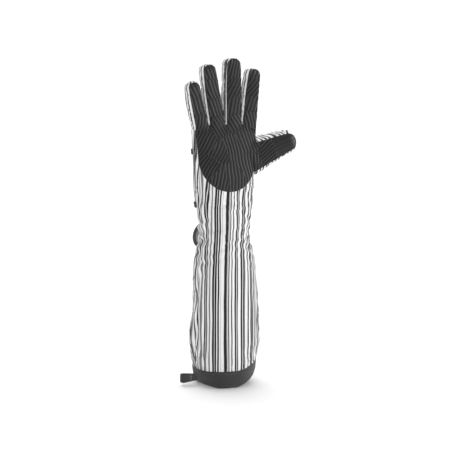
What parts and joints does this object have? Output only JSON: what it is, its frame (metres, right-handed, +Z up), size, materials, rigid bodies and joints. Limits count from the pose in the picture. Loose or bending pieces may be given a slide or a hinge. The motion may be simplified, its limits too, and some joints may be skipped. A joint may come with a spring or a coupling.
{
  "type": "heat resistant glove",
  "caption": "Long barbecue gauntlet for the right hand in striped cloth, with a ribbed silicone palm, a webbing cuff and a hanging loop, jointed at wrist, fingers and thumb.",
  "frame": {"origin": "middle of the glove's bounding box, on the table that the cuff stands on", "axes": "+Z up to the fingertips, -Y out of the palm, +X towards the thumb"},
  "size_m": [0.171, 0.082, 0.459],
  "materials": {
    "striped_fabric": "woven cloth with uneven black, grey and white stripes",
    "ribbed_silicone": "matte, with raised wavy ribs",
    "smooth_silicone": "matte, with shallow grooves",
    "lining": "brushed cotton",
    "black_webbing": "woven tape",
    "elastic": "woven elastic",
    "badge_felt": "plain felt"
  },
  "bodies": {
    "sleeve": {"sleeve_shell": "striped_fabric", "sleeve_lining": "lining", "wrist_elastic": "elastic", "cuff_band": "black_webbing", "badge_rim": "black_webbing", "badge_face": "badge_felt", "wrist_gather": "striped_fabric"},
    "hand": {"hand_shell": "striped_fabric", "hand_lining": "lining", "palm_grip": "ribbed_silicone", "back_panel": "striped_fabric", "panel_binding_lower": "black_webbing", "panel_binding_upper": "black_webbing"},
    "loop": {"hang_loop": "black_webbing"},
    "pinky_base": {"pinky_base_shell": "striped_fabric", "pinky_base_lining": "lining", "pinky_base_grip": "ribbed_silicone"},
    "pinky_tip": {"pinky_tip_shell": "striped_fabric", "pinky_tip_lining": "lining", "pinky_tip_grip": "ribbed_silicone"},
    "ring_base": {"ring_base_shell": "striped_fabric", "ring_base_lining": "lining", "ring_base_grip": "ribbed_silicone"},
    "ring_tip": {"ring_tip_shell": "striped_fabric", "ring_tip_lining": "lining", "ring_tip_grip": "ribbed_silicone"},
    "middle_base": {"middle_base_shell": "striped_fabric", "middle_base_lining": "lining", "middle_base_grip": "ribbed_silicone"},
    "middle_tip": {"middle_tip_shell": "striped_fabric", "middle_tip_lining": "lining", "middle_tip_grip": "ribbed_silicone"},
    "index_base": {"index_base_shell": "striped_fabric", "index_base_lining": "lining", "index_base_grip": "ribbed_silicone"},
    "index_tip": {"index_tip_shell": "striped_fabric", "index_tip_lining": "lining", "index_tip_grip": "ribbed_silicone"},
    "thumb_base": {"thumb_base_shell": "striped_fabric", "thumb_base_lining": "lining", "thumb_base_grip": "ribbed_silicone"},
    "thumb_tip": {"thumb_tip_shell": "striped_fabric", "thumb_tip_lining": "lining", "thumb_tip_grip": "smooth_silicone"}
  },
  "joints": [
    {"name": "wrist_bend", "type": "hinge", "parent": "sleeve", "child": "hand", "pos_m": [-0.0196, 0, 0.238], "axis": [1, 0, 0], "range_deg": [-35, 35], "stiffness_Nm_per_rad": 0.9, "deforming": ["wrist_gather"]},
    {"name": "pinky_curl", "type": "hinge", "parent": "hand", "child": "pinky_base", "pos_m": [-0.05848, -0.01368, 0.37874], "axis": [0.9763, 0, 0.2164], "range_deg": [0, 75], "stiffness_Nm_per_rad": 0.06},
    {"name": "pinky_tip_curl", "type": "hinge", "parent": "pinky_base", "child": "pinky_tip", "pos_m": [-0.06324, -0.01376, 0.40022], "axis": [0.9763, 0, 0.2164], "range_deg": [0, 75], "stiffness_Nm_per_rad": 0.04},
    {"name": "ring_curl", "type": "hinge", "parent": "hand", "child": "ring_base", "pos_m": [-0.03451, -0.0149, 0.37883], "axis": [0.9848, 0, 0.1736], "range_deg": [0, 75], "stiffness_Nm_per_rad": 0.06},
    {"name": "ring_tip_curl", "type": "hinge", "parent": "ring_base", "child": "ring_tip", "pos_m": [-0.04058, -0.0148, 0.41323], "axis": [0.9848, 0, 0.1736], "range_deg": [0, 75], "stiffness_Nm_per_rad": 0.04},
    {"name": "middle_curl", "type": "hinge", "parent": "hand", "child": "middle_base", "pos_m": [-0.00899, -0.01493, 0.379], "axis": [0.9998, 0, 0.0175], "range_deg": [0, 75], "stiffness_Nm_per_rad": 0.06},
    {"name": "middle_tip_curl", "type": "hinge", "parent": "middle_base", "child": "middle_tip", "pos_m": [-0.00968, -0.0148, 0.41804], "axis": [0.9998, 0, 0.0175], "range_deg": [0, 75], "stiffness_Nm_per_rad": 0.04},
    {"name": "index_curl", "type": "hinge", "parent": "hand", "child": "index_base", "pos_m": [0.01526, -0.01488, 0.37897], "axis": [0.9969, 0, -0.0785], "range_deg": [0, 75], "stiffness_Nm_per_rad": 0.06},
    {"name": "index_tip_curl", "type": "hinge", "parent": "index_base", "child": "index_tip", "pos_m": [0.01772, -0.01479, 0.41022], "axis": [0.9969, 0, -0.0785], "range_deg": [0, 75], "stiffness_Nm_per_rad": 0.04},
    {"name": "thumb_swing", "type": "hinge", "parent": "hand", "child": "thumb_base", "pos_m": [0.03603, -0.01683, 0.32766], "axis": [0.3584, 0, -0.9336], "range_deg": [0, 50], "stiffness_Nm_per_rad": 0.06},
    {"name": "thumb_tip_curl", "type": "hinge", "parent": "thumb_base", "child": "thumb_tip", "pos_m": [0.05727, -0.01644, 0.33581], "axis": [0.3584, 0, -0.9336], "range_deg": [0, 45], "stiffness_Nm_per_rad": 0.04},
    {"name": "loop_swing", "type": "hinge", "parent": "sleeve", "child": "loop", "pos_m": [-0.06835, 0, 0.01075], "axis": [0, 0, 1], "range_deg": [-65, 65]}
  ],
  "couplings": [
    {"joint": "pinky_tip_curl", "follows": "pinky_curl", "ratio": 1},
    {"joint": "ring_tip_curl", "follows": "ring_curl", "ratio": 1},
    {"joint": "middle_tip_curl", "follows": "middle_curl", "ratio": 1},
    {"joint": "index_tip_curl", "follows": "index_curl", "ratio": 1},
    {"joint": "thumb_tip_curl", "follows": "thumb_swing", "ratio": 0.9}
  ]
}
